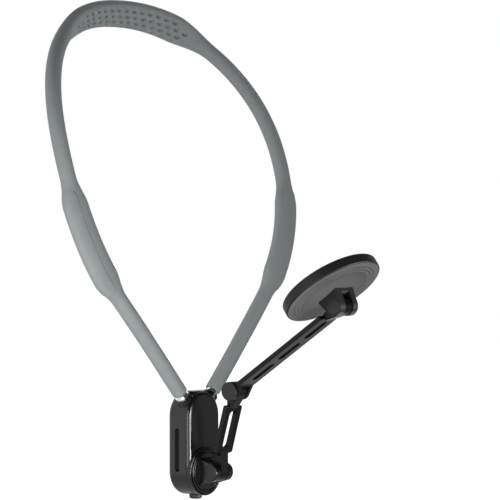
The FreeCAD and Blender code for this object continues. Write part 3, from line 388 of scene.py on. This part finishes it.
def relief(outline, thickness, place, total):
    """How far each point of a section stands out: the collar's panel, less the nape's dimples."""
    steps = np.linalg.norm(np.roll(outline, -1, axis=0) - outline, axis=1)
    # length round the section from its outer tip, positive towards the face that is turned ahead
    around = np.cumsum(steps) - steps
    around -= around[POINTS_BEHIND]
    collar_middle = COLLAR_START + COLLAR_LENGTH / 2
    panel = panel_rise(np.full_like(around, place - collar_middle), around - PANEL_PLACE)
    dimples = dimple_depth(np.full_like(around, place - total), outline[:, 0])
    return panel - dimples * ease((-outline[:, 1] / thickness - DIMPLE_FADE_START) / DIMPLE_FADE)


def outward(outline):
    """The way out of a section at each of its points."""
    tangent = np.roll(outline, -1, axis=0) - np.roll(outline, 1, axis=0)
    return np.stack([tangent[:, 1], -tangent[:, 0]], 1) / np.linalg.norm(tangent, axis=1)[:, None]


def band_rings():
    """Rings of mesh points from one end of the sleeve to the other."""
    centre_line, lengths, share = band_centre_line()
    total = lengths[-1]
    reach = 1.0 * MM

    def centre(place):
        return np.array([np.interp(place, lengths, centre_line[:, axis]) for axis in range(3)])

    rings = []
    for place in band_places(total):
        ahead = centre(place + reach) - centre(place - reach)
        if place == total:
            ahead = np.array([-1.0, 0, 0])
        ahead /= np.linalg.norm(ahead)
        tilt = NAPE_TILT * np.interp(place, lengths, share) ** TILT_POWER
        facing = np.array([0, math.cos(tilt), math.sin(tilt)])
        facing -= ahead * facing.dot(ahead)
        facing /= np.linalg.norm(facing)
        across = np.cross(ahead, facing)
        width, thickness, exponent = band_section(place, total)
        plain = section_outline(width, thickness, exponent)
        outline = plain + outward(plain) * relief(plain, thickness, place, total)[:, None]
        rings.append(centre(place) + np.outer(outline[:, 0], across) + np.outer(outline[:, 1], facing))
    half = np.array(rings)
    other = half[-2::-1].copy()
    other[:, :, 0] *= -1
    return np.concatenate([half, other])


def ring_mesh(name, rings):
    """A closed mesh over rings of points, with a small cap at each end."""
    count, points_round = rings.shape[:2]
    vertices = rings.reshape(-1, 3).tolist()
    faces = []
    for ring in range(count - 1):
        low = ring * points_round
        high = low + points_round
        for point in range(points_round):
            following = (point + 1) % points_round
            faces.append((low + point, low + following, high + following, high + point))
    faces.append(tuple(range(points_round))[::-1])
    faces.append(tuple((count - 1) * points_round + point for point in range(points_round)))
    mesh = bpy.data.meshes.new(name)
    mesh.from_pydata(vertices, [], faces)
    shell = bmesh.new()
    shell.from_mesh(mesh)
    bmesh.ops.recalc_face_normals(shell, faces=shell.faces)
    shell.to_mesh(mesh)
    shell.free()
    mesh.shade_smooth()
    return mesh


def end_rings(ring, inward):
    """Rings that round off the sleeve's end and go down the bore that the ferrule's barb fills."""
    middle = ring.mean(0)
    spoke = ring - middle
    radius = TUBE_DIAMETER / 2
    bore = BARB_BORE / 2
    rounded_from = radius - END_EDGE
    steps = [(bore, BARB_DEPTH), (bore, END_EDGE / 2), (bore + END_EDGE / 2, 0), (rounded_from, 0)]
    for turn in (30, 60):
        angle = math.radians(turn)
        steps.append((rounded_from + END_EDGE * math.sin(angle), END_EDGE - END_EDGE * math.cos(angle)))
    return [middle + spoke * (size / radius) + inward * depth for size, depth in steps]


def make_band():
    """The sleeve with its dimples and panels, in place of the plain solid."""
    rings = band_rings()
    first_ahead = rings[1].mean(0) - rings[0].mean(0)
    last_ahead = rings[-2].mean(0) - rings[-1].mean(0)
    first_ahead /= np.linalg.norm(first_ahead)
    last_ahead /= np.linalg.norm(last_ahead)
    start = end_rings(rings[0], first_ahead)
    end = end_rings(rings[-1], last_ahead)[::-1]
    rings[0] += first_ahead * END_EDGE
    rings[-1] += last_ahead * END_EDGE
    rings = np.concatenate([start, rings, end]) + np.array(SWIVEL)
    band = new_object("neckband", ring_mesh("neckband", rings))
    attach(band, "neck_frame")
    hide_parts("neckband_sleeve")
    return band


# Turned pieces
def turned_piece(name, centre, axis, profiles, body):
    """Rings made by turning closed profiles of (radius, ahead) points round an axis."""
    steps_round = 96
    crease = math.radians(40)
    side = axis.orthogonal().normalized()
    other = axis.cross(side)
    shell = bmesh.new()
    for profile in profiles:
        rings = []
        for step in range(steps_round):
            turn = 2 * math.pi * step / steps_round
            spoke = side * math.cos(turn) + other * math.sin(turn)
            places = [centre + spoke * radius + axis * ahead for radius, ahead in profile]
            rings.append([shell.verts.new(place) for place in places])
        for ring, following in zip(rings, rings[1:] + rings[:1]):
            for point in range(len(profile)):
                beside = (point + 1) % len(profile)
                shell.faces.new((ring[point], ring[beside], following[beside], following[point]))
    bmesh.ops.recalc_face_normals(shell, faces=shell.faces)
    mesh = bpy.data.meshes.new(name)
    shell.to_mesh(mesh)
    shell.free()
    mesh.shade_smooth()
    mesh.set_sharp_from_angle(angle=crease)
    piece = new_object(name, mesh)
    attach(piece, body)
    return piece


def make_ridges():
    """Rings of round section, half sunk in the turntable's face."""
    profiles = []
    for radius in RIDGE_RADII:
        profile = []
        for point in range(RIDGE_POINTS):
            turn = 2 * math.pi * point / RIDGE_POINTS
            ahead = TURNTABLE_PROUD + RIDGE_SIZE * math.sin(turn)
            profile.append((radius + RIDGE_SIZE * math.cos(turn), ahead))
        profiles.append(profile)
    return turned_piece("turntable_ridges", SWIVEL, Vector((0, -1, 0)), profiles, "swivel")


def make_cone():
    """The disc's back rises a little towards the head's block, with fine rings round it."""
    def surface(radius, depth=0.0):
        return radius, (CONE_RADIUS - radius) * math.tan(CONE_SLOPE) - DISC_BACK - depth

    profile = [(CONE_RADIUS, -DISC_BACK - CONE_SINK), surface(CONE_RADIUS)]
    for radius in CONE_RINGS:
        profile += [
            surface(radius + CONE_RING_WIDTH / 2),
            surface(radius, CONE_RING_DEPTH),
            surface(radius - CONE_RING_WIDTH / 2),
        ]
    profile += [surface(CONE_BORE), (CONE_BORE, -DISC_BACK - CONE_SINK)]
    hinge = Vector(joints["head_tilt"]["pos_m"])
    return turned_piece("disc_cone", hinge, -magnet_axis(), [profile], "head")


# Materials
def new_material(name):
    material = bpy.data.materials.new(name)
    material.use_nodes = True
    return material, material.node_tree, material.node_tree.nodes["Principled BSDF"]


def add_node(tree, kind, **inputs):
    node = tree.nodes.new(kind)
    for key, value in inputs.items():
        node.inputs[key.replace("_", " ")].default_value = value
    return node


def noise(tree, coordinates, scale, detail):
    node = add_node(tree, "ShaderNodeTexNoise", Scale=scale, Detail=detail)
    tree.links.new(coordinates, node.inputs["Vector"])
    return node.outputs["Fac"]


def spread(tree, factor, low, high, start=0.0, end=1.0):
    """Maps a factor that runs from start to end to a range of values."""
    node = add_node(tree, "ShaderNodeMapRange", From_Min=start, From_Max=end, To_Min=low, To_Max=high)
    tree.links.new(factor, node.inputs["Value"])
    return node.outputs["Result"]


def likeness(tree, direction, fixed):
    """How far a direction agrees with a fixed one, from -1 to 1."""
    node = tree.nodes.new("ShaderNodeVectorMath")
    node.operation = "DOT_PRODUCT"
    node.inputs[1].default_value = fixed
    tree.links.new(direction, node.inputs[0])
    return node.outputs["Value"]


def colour_mix(tree, factor):
    node = tree.nodes.new("ShaderNodeMix")
    node.data_type = "RGBA"
    tree.links.new(factor, node.inputs["Factor"])
    return node


def moulded(name, colours, roughness, grain_scale, grain_depth, **shader):
    """A moulded finish: two near colours in soft clouds, uneven gloss and a fine grain."""
    material, tree, bsdf = new_material(name)
    coordinates = tree.nodes.new("ShaderNodeTexCoord").outputs["Object"]
    clouds = noise(tree, coordinates, CLOUD_SCALE, detail=3.0)
    grain = noise(tree, coordinates, grain_scale, detail=2.0)
    tone = colour_mix(tree, clouds)
    for socket, colour in zip("AB", colours):
        tone.inputs[socket].default_value = (*colour, 1)
    tree.links.new(tone.outputs["Result"], bsdf.inputs["Base Color"])
    tree.links.new(spread(tree, grain, *roughness), bsdf.inputs["Roughness"])
    bump = add_node(tree, "ShaderNodeBump", Strength=GRAIN_STRENGTH, Distance=grain_depth)
    tree.links.new(grain, bump.inputs["Height"])
    tree.links.new(bump.outputs["Normal"], bsdf.inputs["Normal"])
    for key, value in shader.items():
        bsdf.inputs[key.replace("_", " ")].default_value = value
    return material


def add_painted_lit_back(material):
    """Painted light: greys the disc's finish where its surface looks away from the magnetic face, standing in for
    the light that back face catches from below.
    """
    tree = material.node_tree
    base = tree.nodes["Principled BSDF"].inputs["Base Color"]
    normal = tree.nodes.new("ShaderNodeTexCoord").outputs["Normal"]
    # painted light: a mask of the faces turned away from the magnetic face, which light from below would lift
    painted_light_mask = spread(tree, likeness(tree, normal, -magnet_axis()), 0.0, 1.0, start=0.90, end=0.99)
    tone = colour_mix(tree, painted_light_mask)
    tree.links.new(base.links[0].from_socket, tone.inputs["A"])
    tone.inputs["B"].default_value = (*DISC_PAINTED_LIGHT_GREY, 1)
    tree.links.new(tone.outputs["Result"], base)


def make_materials():
    materials = {name: moulded(name, **finish) for name, finish in FINISHES.items()}
    add_painted_lit_back(materials["disc_black"])
    return materials


def dress(materials):
    """Gives each node its slot's finish, or its own where it has one."""
    for part in frame["record"]["subparts"]:
        node = nodes[part["node"]]
        node.data.materials.clear()
        node.data.materials.append(materials[SPECIAL_FINISHES.get(part["node"], part["material_slot"])])


# Stage
def combined(tree, operation, first, second):
    node = tree.nodes.new("ShaderNodeMath")
    node.operation = operation
    tree.links.new(first, node.inputs[0])
    tree.links.new(second, node.inputs[1])
    return node.outputs["Value"]


def either(tree, first, second):
    return combined(tree, "MAXIMUM", first, second)


def seen_directly(tree, path):
    """A factor for the rays that the camera sees by."""
    return either(tree, path["Is Camera Ray"], path["Is Transmission Ray"])


def make_world():
    """A white backdrop behind and below, a dim studio ahead and above; the camera sees only white."""
    world = bpy.data.worlds.new("studio")
    scene.world = world
    world.use_nodes = True
    tree = world.node_tree
    tree.nodes.clear()
    direction = tree.nodes.new("ShaderNodeTexCoord").outputs["Generated"]
    backdrop = spread(tree, likeness(tree, direction, BACKDROP_SIDE), STUDIO_DIM, 1.0, start=-0.30, end=0.15)
    seen = seen_directly(tree, tree.nodes.new("ShaderNodeLightPath").outputs)
    light = add_node(tree, "ShaderNodeBackground", Color=WHITE)
    tree.links.new(either(tree, seen, backdrop), light.inputs["Strength"])
    output = tree.nodes.new("ShaderNodeOutputWorld")
    tree.links.new(light.outputs["Background"], output.inputs["Surface"])


def make_floor():
    """A pale floor that the camera sees white; in mirrors it dims towards the studio ahead."""
    level = cad_box[0][2] - FLOOR_DROP
    mesh = bpy.data.meshes.new("floor")
    corners = [(x * FLOOR_HALF, y * FLOOR_HALF, level) for x, y in ((-1, -1), (1, -1), (1, 1), (-1, 1))]
    mesh.from_pydata(corners, [], [(0, 1, 2, 3)])
    floor = new_object("floor", mesh)
    material, tree, bsdf = new_material("pale_floor")
    bsdf.inputs["Base Color"].default_value = (FLOOR_GREY, FLOOR_GREY, FLOOR_GREY, 1)
    bsdf.inputs["Roughness"].default_value = FLOOR_ROUGHNESS
    bsdf.inputs["Emission Color"].default_value = WHITE
    place = tree.nodes.new("ShaderNodeSeparateXYZ")
    tree.links.new(tree.nodes.new("ShaderNodeTexCoord").outputs["Object"], place.inputs["Vector"])
    behind = spread(tree, place.outputs["Y"], 0.0, 1.0, start=-0.5, end=1.5)
    path = tree.nodes.new("ShaderNodeLightPath").outputs
    mirrored = combined(tree, "MULTIPLY", path["Is Glossy Ray"], behind)
    glow = spread(tree, either(tree, seen_directly(tree, path), mirrored), 0.0, FLOOR_GLOW)
    tree.links.new(glow, bsdf.inputs["Emission Strength"])
    mesh.materials.append(material)


def add_softbox(name, offset, target, size, power, diffuse=True, mirrored=True):
    """A soft light at an offset from the swivel, turned to a target; mirrors or matt surfaces may miss it."""
    light = bpy.data.lights.new(name, "AREA")
    light.shape = "RECTANGLE"
    light.size, light.size_y = size
    light.energy = power
    lamp = new_object(name, light)
    place = SWIVEL + Vector(offset)
    lamp.location = place
    lamp.rotation_euler = (target - place).to_track_quat("-Z", "Y").to_euler()
    lamp.visible_camera = False
    lamp.visible_diffuse = diffuse
    lamp.visible_glossy = mirrored


def make_lights():
    """A key near the wearer's right, a low fill ahead, a rim high on the left, a strip for mirrored edges."""
    legs = SWIVEL + Vector((0, 0, 0.06))
    collars = SWIVEL + Vector((0, 0, 0.16))
    add_softbox("key", (-0.33, -0.15, 0.03), legs, size=(0.30, 0.30), power=1.04)
    add_softbox("fill", (-0.10, -0.26, -0.08), legs, size=(0.20, 0.20), power=0.26, mirrored=False)
    add_softbox("rim", (0.50, -0.10, 0.50), collars, size=(0.30, 0.30), power=1.30, mirrored=False)
    add_softbox("strip", (0.24, -0.88, 0.02), SWIVEL, size=(0.55, 0.30), power=16.0, diffuse=False)


def make_camera():
    camera = new_object("camera", bpy.data.cameras.new("camera"))
    camera.data.lens = CAMERA_LENS
    camera.data.sensor_width = SENSOR_WIDTH
    camera.location = CAMERA_PLACE
    camera.rotation_euler = CAMERA_LOOK.to_track_quat("-Z", "Y").to_euler()
    scene.camera = camera


scene.view_settings.view_transform = "Standard"
finishes = make_materials()
dress(finishes)
neckband = make_band()
neckband.data.materials.append(finishes["band_silicone"])
ridges = make_ridges()
ridges.data.materials.append(finishes["swivel_satin"])
cone = make_cone()
cone.data.materials.append(finishes["disc_black"])
make_world()
make_floor()
make_lights()
make_camera()
